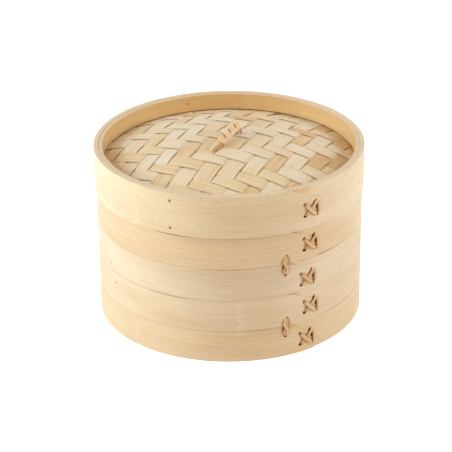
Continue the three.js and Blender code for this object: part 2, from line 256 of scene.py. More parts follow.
class Finish(Nodes):
    """A material's nodes."""

    def __init__(self, name, specular, roughness=0.5):
        self.material = bpy.data.materials.new(name)
        self.material.use_nodes = True
        super().__init__(self.material.node_tree)
        self.tree.nodes.clear()
        settings = {"Roughness": roughness, "Specular IOR Level": specular}
        self.shader = self.node("ShaderNodeBsdfPrincipled", {}, settings)
        self.node("ShaderNodeOutputMaterial", {}, {"Surface": self.shader.outputs["BSDF"]})

    def mixed(self, factor, first, second):
        """A colour between two colours."""
        sockets = dict(zip(MIX_SOCKETS, (factor, first, second)))
        return self.node("ShaderNodeMix", {"data_type": "RGBA"}, sockets).outputs[MIX_RESULT]

    def coordinates(self, kind):
        return self.parts_of(self.node("ShaderNodeTexCoord").outputs[kind])

    def place(self):
        """Where a point is on the steamer, as three values."""
        return self.coordinates("Object")

    def parts_of(self, vector):
        parts = self.node("ShaderNodeSeparateXYZ", {}, {"Vector": vector})
        return [Value(self, output) for output in parts.outputs]

    def grain(self):
        """Along, across and which strip, as three values."""
        attribute = self.node("ShaderNodeAttribute", {"attribute_name": "grain"})
        return self.parts_of(attribute.outputs["Vector"])

    def attribute(self, name):
        node = self.node("ShaderNodeAttribute", {"attribute_name": name})
        return Value(self, node.outputs["Fac"])

    def vector(self, x, y, z):
        return self.node("ShaderNodeCombineXYZ", {}, {"X": x, "Y": y, "Z": z}).outputs[0]

    def noise(self, x, y, z, detail=2.0, roughness=0.5):
        sockets = {
            "Vector": self.vector(x, y, z),
            "Scale": 1.0,
            "Detail": detail,
            "Roughness": roughness,
        }
        return Value(self, self.node("ShaderNodeTexNoise", {}, sockets).outputs["Fac"])

    def ramp(self, factor, *stops):
        node = self.node("ShaderNodeValToRGB", {"stops": stops}, {"Fac": factor})
        return node.outputs["Color"]

    def facing_up(self):
        """1 on level faces, 0 on upright ones."""
        return abs(self.coordinates("Normal")[2])

    def surface(self, **sources):
        """What feeds the shader: each source with its socket's name, in small letters."""
        for name, source in sources.items():
            self.feed(self.shader.inputs[name.replace("_", " ").title()], source)
        return self.material

    def relief(self, height, distance, strength):
        sockets = {"Height": height, "Distance": distance, "Strength": strength}
        return self.node("ShaderNodeBump", {}, sockets).outputs["Normal"]


def tone(red, green, blue):
    """A colour given as screen values from 0 to 255."""
    levels = (level / 255 for level in (red, green, blue))
    return tuple(
        level / 12.92 if level <= 0.04045 else ((level + 0.055) / 1.055) ** 2.4 for level in levels
    )


def evenly(*tones):
    """Colour stops with even steps between them."""
    return [(index / (len(tones) - 1), tone(*levels)) for index, levels in enumerate(tones)]


# ---- Finishes ----


def bent_bamboo(name, pale, deep, scars=(), stains=(), shift=0.0, corner=None):
    """A wide strip wound into a hoop: fibres run round it, and joints of the culm cross it.

    Its cut edges are cream, and painted brown next to the outer corner, where one is given: painted
    shade in the seams between bands.
    """
    finish = Finish(name, specular=0.5)
    place = finish.place()
    x, y, z = place
    radius = (x * x + y * y) ** 0.5
    rise = z + radius + shift

    def fibres(along, across, start=0, detail=3, roughness=0.6):
        """Noise that changes so many times a metre along the fibres and across them."""
        return finish.noise(x * along + start, y * along, rise * across, detail, roughness)

    threads = fibres(along=45, across=2600)
    lines = fibres(along=20, across=950, roughness=0.65)
    ribbons = fibres(along=9, across=380, start=shift * 50, roughness=0.55)
    clouds = fibres(along=9, across=40, start=shift * 90, detail=2, roughness=0.5)
    dashes = fibres(along=75, across=1250, detail=2, roughness=0.5).between(0.6, 0.72)
    depth = mottled((ribbons, 0.4), (clouds, 1.2), (lines, 0.8), (threads, 0.6))
    colour = finish.mixed((depth + 0.5).clamped(), pale, deep)
    colour = finish.mixed(dashes * 0.25, colour, DASH_TAN)
    height = threads + lines * 0.5
    for stain in stains:
        colour = stained(finish, stain, place, colour)
    for scar in scars:
        colour, height = culm_joint(finish, scar, place, colour, height)
    level = finish.facing_up().between(0.75, 0.97)
    edges = EDGE_CREAM
    # Painted shade: the cut edges go brown next to the outer corner, so the seams between bands
    # read dark.
    if corner:
        seam_shade = radius.between(corner - 1.2 * MM, corner - 0.4 * MM)
        edges = finish.mixed(seam_shade, EDGE_CREAM, SEAM_SHADE_BROWN)
    colour = finish.mixed(level * (0.6 + threads * 0.5), colour, edges)
    relief = finish.relief(height, 0.08 * MM, 0.5)
    return finish.surface(base_color=colour, roughness=0.38 + threads * 0.22, normal=relief)


def mottled(*layers):
    """How far noises stray from their middle together, each with a strength."""
    (first, strength), *others = layers
    depth = (first - 0.5) * strength
    for noise, strength in others:
        depth += (noise - 0.5) * strength
    return depth


def round_the_wall(place, azimuth):
    """Distance along the wall from an azimuth, and 1 on that side of the steamer."""
    x, y, _ = place
    turn = radians(azimuth)
    across = x * cos(turn) + y * sin(turn)
    here = (x * sin(turn) - y * cos(turn)).between(0, 10 * MM)
    return across, here


def stained(finish, stain, place, colour):
    """A warmer patch: its azimuth, height, half length, half height and tone."""
    azimuth, height, half_length, half_height, tint = stain
    across, here = round_the_wall(place, azimuth)
    ragged = (finish.noise(across * 200, 0, place[2] * 700, detail=3) - 0.5) * 1.1
    off = (across / (half_length * MM)) ** 2 + ((place[2] - height * MM) / (half_height * MM)) ** 2
    patch = (1 - (off + ragged).between(0.1, 1.0)) * here
    return finish.mixed(patch * 0.55, colour, tint)


def culm_joint(finish, scar, place, colour, height):
    """The mark where the culm had a joint: a ragged upright veil with short wrinkles across it.

    A scar is its azimuth, middle height, half height (0 for all the way up), tone and strength.
    """
    azimuth, middle, half_height, tint, strength = scar
    across, here = round_the_wall(place, azimuth)
    z = place[2]
    wander = (finish.noise(across * 120, 0, z * 200, detail=3) - 0.5) * VEIL_WANDER
    near = (1 - abs(across + wander).between(*VEIL_EDGE)) * here
    if half_height:
        above = abs(z - middle * MM)
        near = near * (1 - above.between(half_height * 0.7 * MM, half_height * MM))
    wrinkles = finish.noise(across * 170, 0, z * 850, detail=3, roughness=0.6)
    pale = wrinkles.between(0.5, 0.6) * near
    dark = (1 - wrinkles.between(0.36, 0.46)) * near
    colour = finish.mixed(near * 0.55 * strength, colour, tint)
    colour = finish.mixed(pale * 0.5 * strength, colour, WRINKLE_PALE)
    colour = finish.mixed(dark * 0.5 * strength, colour, WRINKLE_DARK)
    return colour, height + near * 0.6 + pale * 0.8 * strength


def split_strip(name, stops, shine=0.0, contrast=1.0, side_shade=(0.92, 0.3)):
    """A thin split strip: fibres run along it, and each strip has a tone of its own.

    Its sides are painted browner, as the shade in the gaps beside it: the last argument gives where
    that starts, and how strong it is.
    """
    finish = Finish(name, specular=0.3 + shine)
    along, across, which = finish.grain()
    own = finish.attribute("tone")
    threads = finish.noise(along * 30, across * 2200, which * 7.3, detail=3, roughness=0.6)
    lines = finish.noise(along * 12, across * 620, which * 3.1, detail=3, roughness=0.65)
    clouds = finish.noise(along * 22, across * 60, which * 5.7)
    depth = mottled((lines, 1.3), (clouds, 0.7), (threads, 0.6))
    colour = finish.ramp((own + depth * contrast).clamped(), *stops)
    dashes = finish.noise(along * 110, across * 1500, which * 2.3, detail=1).between(0.64, 0.76)
    colour = finish.mixed(dashes * 0.4, colour, DASH_BROWN)
    # Painted shade: browner towards each side of the strip.
    shade_start, shade_strength = side_shade
    side_shade_mask = finish.attribute("edge").between(shade_start, 1.0)
    colour = finish.mixed(side_shade_mask * shade_strength, colour, SIDE_SHADE_BROWN)
    relief = finish.relief(threads + lines * 0.9, 0.09 * MM, 0.6)
    return finish.surface(base_color=colour, roughness=0.46 + threads * 0.22, normal=relief)


def end_grain_and_hole_shade(name, *tones):
    """Ragged bamboo across the grain: the end of a peg, or the inside of a drilled hole, whose
    darker tones are also painted shade.
    """
    finish = Finish(name, specular=0.2)
    x, y, z = finish.place()
    pores = finish.noise(x * 2600, y * 2600, z * 2600, detail=2, roughness=0.7)
    colour = finish.ramp(pores, *zip((0.3, 0.5, 0.7), (tone(*levels) for levels in tones)))
    relief = finish.relief(pores, 0.12 * MM, 0.8)
    return finish.surface(base_color=colour, roughness=0.6 + pores * 0.2, normal=relief)


VEIL_WANDER = 12 * MM
VEIL_EDGE = (2 * MM, 7 * MM)  # where the veil starts to fade, and where it ends

DASH_TAN = tone(196, 150, 96)
DASH_BROWN = tone(166, 122, 74)
# Painted shade along the sides of split strips and rattan.
SIDE_SHADE_BROWN = tone(142, 90, 46)
WRINKLE_PALE = tone(236, 213, 190)
WRINKLE_DARK = tone(186, 142, 98)
EDGE_CREAM = tone(209, 182, 147)
# Painted shade of the seams between bands.
SEAM_SHADE_BROWN = tone(206, 154, 92)

WEAVE_STOPS = (
    (0.0, tone(230, 212, 188)),
    (0.35, tone(227, 203, 167)),
    (0.65, tone(221, 189, 144)),
    (1.0, tone(207, 165, 111)),
)
# Painted shade: dark brown for the lining's upper side, seen through the gaps of the weave above
# it.
LINING_SHADE_STOPS = evenly((194, 122, 54), (154, 88, 32))
# Painted shade: near-black brown for the handle's core canes and its wraps' ends, seen only in the
# slits between wraps.
PAINTED_SHADE_STOPS = evenly((96, 58, 26), (58, 32, 12))
SLAT_STOPS = evenly((238, 220, 188), (228, 200, 156), (206, 168, 116))
RATTAN_STOPS = evenly((238, 206, 164), (226, 180, 124), (188, 130, 70))

# ---- Mesh helpers ----


def smooth(share):
    share = min(max(share, 0.0), 1.0)
    return share * share * (3 - 2 * share)


def soften(bm, edges, offset):
    shape = {"offset": offset, "offset_type": "OFFSET", "segments": 2, "profile": 0.5}
    bmesh.ops.bevel(bm, geom=edges, affect="EDGES", material=-1, clamp_overlap=True, **shape)


def as_mesh(bm, name):
    mesh = bpy.data.meshes.new(name)
    bm.to_mesh(mesh)
    bm.free()
    return mesh


def placed(name, data):
    """A new object in the scene."""
    made = bpy.data.objects.new(name, data)
    bpy.context.collection.objects.link(made)
    return made


def strip(length, thickness, width, steps, rounding, steps_across):
    """A straight strip along X, its flat side to +Y and its width along Z, with softened edges."""
    bm = bmesh.new()
    bmesh.ops.create_cube(bm, size=1.0)
    bmesh.ops.scale(bm, vec=(length, thickness, width), verts=bm.verts)
    soften(bm, bm.edges[:], rounding)
    for axis, size, cuts in ((0, length, steps - 1), (2, width, steps_across - 1)):
        spans = [edge for edge in bm.edges if span_of(edge, axis) > size / 2]
        bmesh.ops.subdivide_edges(bm, edges=spans, cuts=cuts, use_grid_fill=True)
    return bm


def span_of(edge, axis):
    first, second = edge.verts
    return abs(first.co[axis] - second.co[axis])


def set_grain(bm, which, tone_value=0.5, axes=(0, 2)):
    """Records how the fibres run, the tone and how near the cut sides are, from the flat shape."""
    grain = bm.verts.layers.float_vector.new("grain")
    own = bm.verts.layers.float.new("tone")
    edge = bm.verts.layers.float.new("edge")
    half = max(vert.co[axes[1]] for vert in bm.verts)
    for vert in bm.verts:
        vert[grain] = (vert.co[axes[0]], vert.co[axes[1]] + vert.co.y * 0.7, which)
        vert[own] = tone_value
        vert[edge] = abs(vert.co[axes[1]]) / half


def outward(bm):
    """Turns the faces of one closed shell to look outwards."""
    bmesh.ops.recalc_face_normals(bm, faces=bm.faces)
    if bm.calc_volume(signed=True) < 0:
        bmesh.ops.reverse_faces(bm, faces=bm.faces)


def wound(bm, length, place):
    """Winds a flat strip into a hoop: place(share along, outwards, up) gives each point."""
    for vert in bm.verts:
        azimuth, radius, height = place(vert.co.x / length + 0.5, vert.co.y, vert.co.z)
        turn = radians(azimuth)
        vert.co = (radius * sin(turn), -radius * cos(turn), height)
    outward(bm)


def butted_hoop(inner, outer, bottom, top, seam):
    """A hoop whose two ends meet, with a hair's gap, at the seam's azimuth."""
    length = tau * outer - BUTT_GAP
    middle = (inner + outer) / 2
    bm = strip(length, outer - inner, top - bottom, HOOP_STEPS, EDGE_ROUND, 4)
    start = seam + degrees(BUTT_GAP / outer) / 2
    sweep = degrees(length / outer)

    def place(share, out, up):
        return start + share * sweep, middle + out, (bottom + top) / 2 + up

    wound(bm, length, place)
    return bm


def bent_round(bm, radius, azimuth):
    """Bends what was built flat (X along the wall, Y outwards) round a wall."""
    for vert in bm.verts:
        turn = radians(azimuth) + vert.co.x / radius
        reach = radius + vert.co.y
        vert.co = (reach * sin(turn), -reach * cos(turn), vert.co.z)
    bmesh.ops.reverse_faces(bm, faces=bm.faces)


def strand(
    points, side, width, thickness, which, tone_value,
    roundness=0.8, swell=None, skew=0.0, side_shade_amount=1.0,
):
    """Split rattan along a path, its width always along side.

    With swell(share), its size along the path, it is a wrapping: its fibres run round the path,
    and skew leans its ends. The higher the last argument is, the browner its two sides are painted,
    as shade along them.
    """
    bm = bmesh.new()
    grain = bm.verts.layers.float_vector.new("grain")
    own = bm.verts.layers.float.new("tone")
    side_shade = bm.verts.layers.float.new("edge")
    ring = bmesh.ops.create_circle(bm, segments=STRAND_SIDES, radius=0.5)["verts"]
    for vert in ring:
        vert.co = [copysign(abs(2 * part) ** roundness / 2, part) for part in vert.co]
    travelled = 0.0
    last = Matrix()
    edges = bm.edges[:]
    for index, point in enumerate(points):
        before = points[max(index - 1, 0)]
        after = points[min(index + 1, len(points) - 1)]
        tangent = (after - before).normalized()
        across = side[index] if isinstance(side, list) else side
        across = (across - tangent * across.dot(tangent)).normalized()
        up = tangent.cross(across)
        size = swell(index / (len(points) - 1)) if swell else 1
        lean = across - tangent * skew
        here = Matrix((lean * width * size, up * thickness * size, tangent)).transposed().to_4x4()
        here.translation = point
        if index:
            travelled += (point - before).length
            made = bmesh.ops.extrude_edge_only(bm, edges=edges)["geom"]
            ring = [item for item in made if isinstance(item, bmesh.types.BMVert)]
            edges = [item for item in made if isinstance(item, bmesh.types.BMEdge)]
            edges = [edge for edge in edges if all(vert in ring for vert in edge.verts)]
        bmesh.ops.transform(bm, matrix=here @ last.inverted(), verts=ring)
        last = here
        for vert in ring:
            local = here.inverted() @ vert.co
            over = local.x * width + local.y * thickness
            vert[grain] = (over, travelled, which) if swell else (travelled, over, which)
            vert[own] = tone_value
            vert[side_shade] = 0 if swell else abs(2 * local.x) * side_shade_amount
    ends = bmesh.ops.holes_fill(bm, edges=[edge for edge in bm.edges if edge.is_boundary], sides=0)
    for face in ends["faces"]:
        face.material_index = 1
    outward(bm)
    return bm


def joined(parts):
    """One bmesh from several, in the first one's place."""
    whole = parts[0]
    for part in parts[1:]:
        mesh = as_mesh(part, "part")
        whole.from_mesh(mesh)
        bpy.data.meshes.remove(mesh)
    return whole


def piece(bm, name, material, body, slot, nodes, cutters=(), sharp=32, second="hole"):
    """Makes the object, in place of the nodes that it stands for.

    Its second finish is for holes and cut ends, darker as end grain and painted shade, or for the
    upper side of the lid's lining, painted dark as the shade seen through the weave's gaps.
    """
    mesh = as_mesh(bm, name)
    made = placed(name, mesh)
    mesh.materials.append(material)
    if cutters or any(polygon.material_index for polygon in mesh.polygons):
        mesh.materials.append(finishes[second])
    if cutters:
        cut(made, cutters)
    smoothed(made.data, sharp)
    made.modifiers.new("even_shading", "WEIGHTED_NORMAL").keep_sharp = True
    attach(made, body)
    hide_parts(*nodes)


def smoothed(mesh, sharp):
    bm = bmesh.new()
    bm.from_mesh(mesh)
    for face in bm.faces:
        face.smooth = True
    for edge in bm.edges:
        edge.smooth = not edge.is_manifold or edge.calc_face_angle(0) < radians(sharp)
    bm.to_mesh(mesh)
    bm.free()


def cut(target, cutters):
    """Takes the cutters away from a piece; the cut faces take its second finish."""
    whole = joined(list(cutters))
    for face in whole.faces:
        face.material_index = 1
    tool = placed("cutter", as_mesh(whole, "cutter"))
    modifier = target.modifiers.new("cut", "BOOLEAN")
    modifier.operation = "DIFFERENCE"
    modifier.object = tool
    modifier.solver = "EXACT"
    modifier.use_self = True
    graph = bpy.context.evaluated_depsgraph_get()
    result = bpy.data.meshes.new_from_object(target.evaluated_get(graph))
    target.modifiers.clear()
    target.data = result
    bpy.data.objects.remove(tool)


# ---- Drills ----


def rod(radius, length, sides):
    """A round rod along Z."""
    bm = bmesh.new()
    sizes = {"radius1": radius, "radius2": radius, "depth": length}
    bmesh.ops.create_cone(bm, cap_ends=True, segments=sides, **sizes)
    return bm


def soften_rims(bm, offset):
    soften(bm, [edge for edge in bm.edges if span_of(edge, 2) < 0.1 * MM], offset)


def turned(bm, angle, axis):
    bmesh.ops.rotate(bm, matrix=Matrix.Rotation(angle, 3, axis), verts=bm.verts)


def radial_rod(radius, start, end, azimuth, height, rounding=0.0, stretch=1.0, lean=0.0):
    """A round rod that points at the middle of the steamer."""
    bm = rod(radius, end - start, ROD_SIDES)
    if rounding:
        soften_rims(bm, rounding)
    bmesh.ops.scale(bm, vec=(stretch, 1, 1), verts=bm.verts)
    turned(bm, radians(lean), "Z")
    turned(bm, pi / 2, "X")
    bmesh.ops.translate(bm, vec=(0, -(start + end) / 2, height), verts=bm.verts)
    turned(bm, radians(azimuth), "Z")
    return bm


# ---- Lacing ----


class Hole:
    """Where a lace goes in: along the wall and up from the lacing's middle, in millimetres."""

    def __init__(self, along, up, radius, stretch=1.0, lean=0.0):
        self.along = along * MM
        self.up = up * MM
        self.radius = radius * MM
        self.stretch = stretch
        self.lean = lean

    def drill(self, wall, node):
        azimuth = azimuth_of(node) + degrees(self.along / wall)
        height = middle_height(node) + self.up
        reach = (wall - HOLE_DEPTH, wall + DRILL_PROUD)
        shape = {"stretch": self.stretch, "lean": self.lean}
        return radial_rod(self.radius, *reach, azimuth, height, **shape)


LACE_HOLES = (
    Hole(-7.7, 4.4, 1.9),
    Hole(-6.9, -6.0, 1.9, 1.4, 42),
    Hole(3.0, 4.9, 1.4, 2.5, 48),
    Hole(5.2, 0.2, 0.9, 3.2, 88),
    Hole(6.3, -7.8, 1.4),
)
TIE_HOLES = (
    Hole(0.6, 7.2, 1.6, 1.3, 80),
    Hole(-0.4, -10.0, 1.6, 1.3, 80),
    Hole(-2.8, -2.6, 1.1, 1.8, 80),
)


def straight(share):
    return 0


def hump(centre, width, height):
    return lambda share: height * max(0.0, 1 - ((share - centre) / width) ** 2) ** 2


def twist(amount):
    return lambda share: amount * sin(tau * share) * sin(pi * share)


def laid_strand(ends, which, tone_value, lift=straight, bow=straight, width=LACE_W):
    """Flat on the wall from hole to hole, down into both, raised by lift and bowed by bow.

    Its ends are in millimetres from the lacing's middle: along the wall, and up.
    """
    start, end = (Vector((along, 0, up)) * MM for along, up in ends)
    run = end - start
    side = Vector((-run.z, 0, run.x)).normalized()
    points = []
    for index in range(LACE_STEPS + 1):
        share = 0.5 - 0.5 * cos(pi * index / LACE_STEPS)
        sunk = abs(2 * share - 1) ** 10 * HOLE_DEPTH
        height = LACE_SEAT + lift(share) - sunk
        points.append(start + run * share + side * bow(share) + Vector((0, height, 0)))
    return strand(points, side, width, LACE_T, which, tone_value, 0.7)


def laced(parts, name, wall, node, body):
    whole = joined(parts)
    bmesh.ops.translate(whole, vec=(0, 0, middle_height(node)), verts=whole.verts)
    bent_round(whole, wall, azimuth_of(node))
    piece(whole, name, finishes["rattan"], body, "rattan", [node], sharp=60)


def cross_lacing(name, wall, node, body, tones):
    """A cross with an upright at its right: a tone for each strand, and how far they sway."""
    under, over, upright, sway = tones
    rising = laid_strand(
        ((-7.0, -6.4 + sway), (6.2, 6.4)), 1, under, hump(0.6, 0.45, 0.25 * MM)
    )
    lift = hump(0.42, 0.42, LACE_T * 0.95)
    bow = hump(0.5, 0.5, -0.5 * MM)
    falling = laid_strand(((-7.2, 4.2 - sway), (5.9, -8.7)), 2, over, lift, bow, LACE_W * 1.04)
    lift = hump(0.5, 0.6, LACE_T * 0.5)
    bow = hump(0.5, 0.5, -0.4 * MM)
    bar = laid_strand(((6.9, -8.1), (6.7 - sway, 5.5)), 3, upright, lift, bow, LACE_W * 0.75)
    laced([rising, falling, bar], name, wall, node, body)


def seam_tie(name, wall, node, body, way, knot):
    """A narrow figure of eight over a seam; way says to which side its first strand bows."""
    bow = 1.8 * MM * way
    lift = hump(0.44, 0.26, LACE_T * 0.95)
    parts = [
        laid_strand(((-1.0, -11.2), (1.2, 8.2)), 4, 0.65, straight, twist(bow)),
        laid_strand(((0.6, -11.0), (-0.6, 8.4)), 5, 0.5, lift, twist(-bow)),
    ]
    if knot:
        ends = ((2.2, 1.6), (5.0, -3.4))
        parts.append(laid_strand(ends, 6, 0.6, hump(0.5, 0.5, 0.5 * MM), width=2.6 * MM))
    laced(parts, name, wall, node, body)


def peg_drills(nodes, wall):
    reach = (wall - PEG_HOLE_DEPTH, wall + DRILL_PROUD)
    return [
        radial_rod(PEG_HOLE_R, *reach, azimuth_of(node), middle_height(node)) for node in nodes
    ]


# ---- Hoops ----


def wave(azimuth, seed):
    """A slow hand-made waver, between about -1 and 1."""
    turn = radians(azimuth)
    return sum(height * sin(count * turn + seed * shift) for count, height, shift in WAVES)


def edge_dip(azimuth, seed, gaps):
    """How far a band's edge falls short: hardly at all, but for a few hand-made gaps."""
    dip = (0.04 * wave(azimuth, seed) - EDGE_GROWTH) * MM
    for middle, spread, depth in gaps:
        off = (azimuth - middle + 180) % 360 - 180
        dip += depth * MM * smooth(1 - abs(off) / spread)
    return dip


def lapped_band(inner, node, lace_node, seed, bottom_gaps=(), top_gaps=()):
    """A strip wound a little more than once round; its shaved outer end lies let into its start."""
    low, high = box_of(node)
    outer = high.x
    bottom, top = low.z, high.z
    thick = outer - inner
    width = top - bottom
    end = azimuth_of(lace_node) + degrees(LAP_PAST_LACE / outer)
    overlap = degrees(LAP_LENGTH / outer)
    sweep = 360 + overlap
    length = radians(sweep) * outer
    bed = outer - LAP_STEP

    def parting(past):
        """The radius where the two ends meet, at so many degrees past the start of the strip."""
        start = START_EDGE * smooth(past / START_REACH + 1)
        return inner + start + (bed - inner - START_EDGE) * smooth(past / SCARF)

    def place(share, out, up):
        past = share * sweep
        azimuth = end - sweep + past
        outside = outer
        inside = inner
        if past < overlap:
            outside = parting(past) - LOOSE
        elif past < overlap + LAP_RAMP:
            outside = bed - LOOSE + (LAP_STEP + LOOSE) * smooth((past - overlap) / LAP_RAMP)
        if past > 360 - START_REACH:
            inside = parting(past - 360)
        middle = (inside + outside) / 2
        radius = middle + out / thick * (outside - inside)
        rise = up / width + 0.5
        height = bottom + edge_dip(azimuth, seed, bottom_gaps)
        height += rise * (top - edge_dip(azimuth, seed + 1.7, top_gaps) - height)
        to_end = (sweep - past) / 360 * tau * outer
        height -= TAPER_DROP * smooth(1 - to_end / TAPER_LENGTH) * rise
        return azimuth, radius, height

    bm = strip(length, thick, width, HOOP_STEPS, EDGE_ROUND, 6)
    wound(bm, length, place)
    return bm


# ---- Baskets ----

YELLOW_VEIL = tone(240, 212, 150)
PINK_VEIL = tone(236, 200, 166)
PALE_VEIL = tone(240, 210, 178)
ORANGE_STAIN = tone(226, 168, 104)
HONEY_STAIN = tone(234, 196, 128)

finishes = {
    "inner": bent_bamboo(
        "inner_hoop_bamboo",
        tone(225, 189, 132),
        tone(206, 160, 99),
        scars=((171, 0, 0, tone(226, 184, 128), 0.5), (20, 0, 0, YELLOW_VEIL, 0.5)),
        shift=0.31,
    ),
    "slat": split_strip("slat_bamboo", SLAT_STOPS),
    "weave": split_strip("weave_bamboo", WEAVE_STOPS),
    "lining": split_strip("lining_bamboo", SLAT_STOPS),
    # The lining's upper side takes painted shade.
    "lining_shade_top": split_strip("lining_painted_shade_top", LINING_SHADE_STOPS),
    "rattan": split_strip("split_rattan", RATTAN_STOPS, shine=0.1, contrast=1.3, side_shade=(0.62, 0.85)),
    "painted_shade": split_strip("painted_shade_rattan", PAINTED_SHADE_STOPS),
    # The holes are darker than the bamboo: end grain, and painted shade that deepens them.
    "hole": end_grain_and_hole_shade("drilled_hole_grain_and_shade", (130, 84, 44), (152, 104, 60), (176, 128, 80)),
    "peg": end_grain_and_hole_shade("peg_end", (124, 96, 64), (156, 124, 86), (184, 152, 110)),
    "pale_peg": end_grain_and_hole_shade("pale_peg_end", (184, 148, 104), (206, 172, 126), (222, 190, 146)),
}


def make_peg(node, wall, depth, body):
    reach = (wall - depth, wall + PEG_PROUD)
    peg = radial_rod(PEG_R, *reach, azimuth_of(node), middle_height(node), 0.2 * MM)
    finish = finishes["peg" if body == "lid" else "pale_peg"]
    piece(peg, f"{node}_stick", finish, body, "pegs", [node])


def make_liner(node, name, inner, outer, seam, body, notches=()):
    low, high = box_of(node)
    liner = butted_hoop(inner, outer, low.z, high.z, seam)
    piece(liner, name, finishes["inner"], body, "inner_bamboo", [node], notches)


def make_band(node, prefix, kind, inner, wall, body, look, drills):
    """A lapped band with its own finish, its drilled holes and its lacing."""
    lace = f"{prefix}_lacing"
    gaps = (look.get("bottom_gaps", ()), look.get("top_gaps", ()))
    band = lapped_band(inner, node, lace, look["seed"], *gaps)
    material = bent_bamboo(
        f"{prefix}_{kind}_bamboo",
        look["pale"],
        look["deep"],
        look["scars"],
        look.get("stains", ()),
        look["shift"],
        None if body == "lid" else wall,
    )
    drills = [hole.drill(wall, lace) for hole in LACE_HOLES] + drills
    piece(band, f"{prefix}_bent_{kind}", material, body, "outer_bamboo", [node], drills)
    cross_lacing(f"{prefix}_cross_lacing", wall, lace, body, look["laces"])


def round_ended(bm, radius, offset, half_length):
    """Fits the ends of a flat strip along X, set offset to one side, to a circle."""
    for vert in bm.verts:
        side = vert.co.z + offset
        reach = sqrt(max(radius * radius - side * side, 0))
        vert.co.x *= reach / half_length


def make_flat_strip(node, radius, along_y, body, name, which, tone_value):
    """A level strip right across the basket, its ends cut to the hoop."""
    low, high = box_of(node)
    side_axis = 0 if along_y else 1
    width = high[side_axis] - low[side_axis]
    offset = (high[side_axis] + low[side_axis]) / 2
    half_length = sqrt(radius * radius - offset * offset)
    bm = strip(2 * half_length, high.z - low.z, width, SLAT_STEPS, SLAT_ROUND, 4)
    set_grain(bm, which, tone_value)
    round_ended(bm, radius, offset, half_length)
    height = (low.z + high.z) / 2
    for vert in bm.verts:
        x, y, z = vert.co
        vert.co = (z + offset, x, height + y) if along_y else (x, z + offset, height + y)
    outward(bm)
    piece(bm, name, finishes["slat"], body, "slats", [node])


def bar_notch(node):
    """The place in the foot ring where a cross bar lies."""
    low, high = box_of(node)
    notch = bmesh.new()
    bmesh.ops.create_cube(notch, size=1.0)
    room = high - low + Vector((20 * MM, 2 * FIT, NOTCH_TALL))
    middle = middle_of(node) + Vector((0, 0, NOTCH_TALL / 2 - FIT))
    bmesh.ops.scale(notch, vec=room, verts=notch.verts)
    bmesh.ops.translate(notch, vec=middle, verts=notch.verts)
    return notch


def make_basket(name, looks, foot_seam):
    body = f"{name}_basket"
    outer = outer_radius(f"{name}_inner_hoop")
    inner = outer - INNER_T
    wall = outer_radius(f"{name}_bottom_band")
    pegs = [f"{name}_peg_{index}" for index in (1, 2, 3)]
    ties = [f"{name}_seam_tie_{index}" for index in (1, 2)]
    bars = [f"{name}_cross_bar_{index}" for index in (1, 2)]

    for level, look in looks.items():
        node = f"{name}_{level}_band"
        low, high = box_of(node)
        drills = [hole.drill(wall, tie) for tie in ties for hole in TIE_HOLES]
        drills += peg_drills([peg for peg in pegs if low.z < middle_height(peg) < high.z], wall)
        make_band(node, f"{name}_{level}", "band", outer + FIT, wall, body, look, drills)
    for way, node in zip((1, -1), ties):
        seam_tie(f"{node}_strands", wall, node, body, way, name == "lower" and way == 1)
    for node in pegs:
        make_peg(node, wall, wall - inner, body)

    make_liner(f"{name}_inner_hoop", f"{name}_liner", inner, outer, foot_seam + 90, body)
    notches = [bar_notch(bar) for bar in bars]
    make_liner(
        f"{name}_base_ring", f"{name}_foot_liner", inner, outer, foot_seam, body, notches
    )
    for index, bar in enumerate(bars, 1):
        make_flat_strip(bar, outer, False, body, f"{name}_bar_{index}", index, 0.65)
    for index in range(1, SLAT_COUNT + 1):
        tone_value = 0.4 + 0.25 * sin(index * 2.3 + len(name))
        slat = f"{name}_slat_{index}"
        make_flat_strip(slat, outer, True, body, f"{name}_floor_slat_{index}", index, tone_value)


# A gap is its azimuth, its spread in degrees and its depth in millimetres.
LOWER_BOTTOM = dict(
    seed=1.3,
    shift=0.481,
    pale=tone(238, 210, 172),
    deep=tone(216, 178, 130),
    bottom_gaps=((0, ALL_ROUND, 0.14),),  # it stands on this edge
    top_gaps=((13, 10, 0.35), (33, 3.5, 0.4), (-120, 30, 0.4), (150, 22, 0.4)),
    scars=(
        (-43.2, 14.3, 12, PINK_VEIL, 0.7),
        (4.5, 30, 3, PALE_VEIL, 0.6),
        (75, 0, 0, YELLOW_VEIL, 0.6),
        (190, 0, 0, PINK_VEIL, 0.7),
    ),
    stains=((30, 3.5, 8, 4, HONEY_STAIN),),
    laces=(0.65, 0.45, 0.6, 0.4),
)
LOWER_TOP = dict(
    seed=2.9,
    shift=1.073,
    pale=tone(240, 214, 180),
    deep=tone(218, 184, 140),
    bottom_gaps=((30, 4, 0.25),),
    top_gaps=((-25, 14, 0.4), (110, 30, 0.4), (-150, 24, 0.4)),
    scars=(
        (4.5, 47, 17, PALE_VEIL, 0.85),
        (128, 0, 0, YELLOW_VEIL, 0.6),
        (245, 0, 0, PINK_VEIL, 0.7),
    ),
    laces=(0.6, 0.4, 0.55, 0.1),
)
UPPER_BOTTOM = dict(
    seed=4.1,
    shift=1.517,
    pale=tone(238, 213, 181),
    deep=tone(217, 183, 142),
    top_gaps=((-2, 18, 0.25), (40, 17, 0.5), (-130, 24, 0.4), (170, 26, 0.4)),
    scars=(
        (56.5, 76, 22, PINK_VEIL, 0.8),
        (170, 0, 0, YELLOW_VEIL, 0.6),
        (-68, 0, 0, PINK_VEIL, 0.4),
    ),
    laces=(0.6, 0.55, 0.55, -0.4),
)
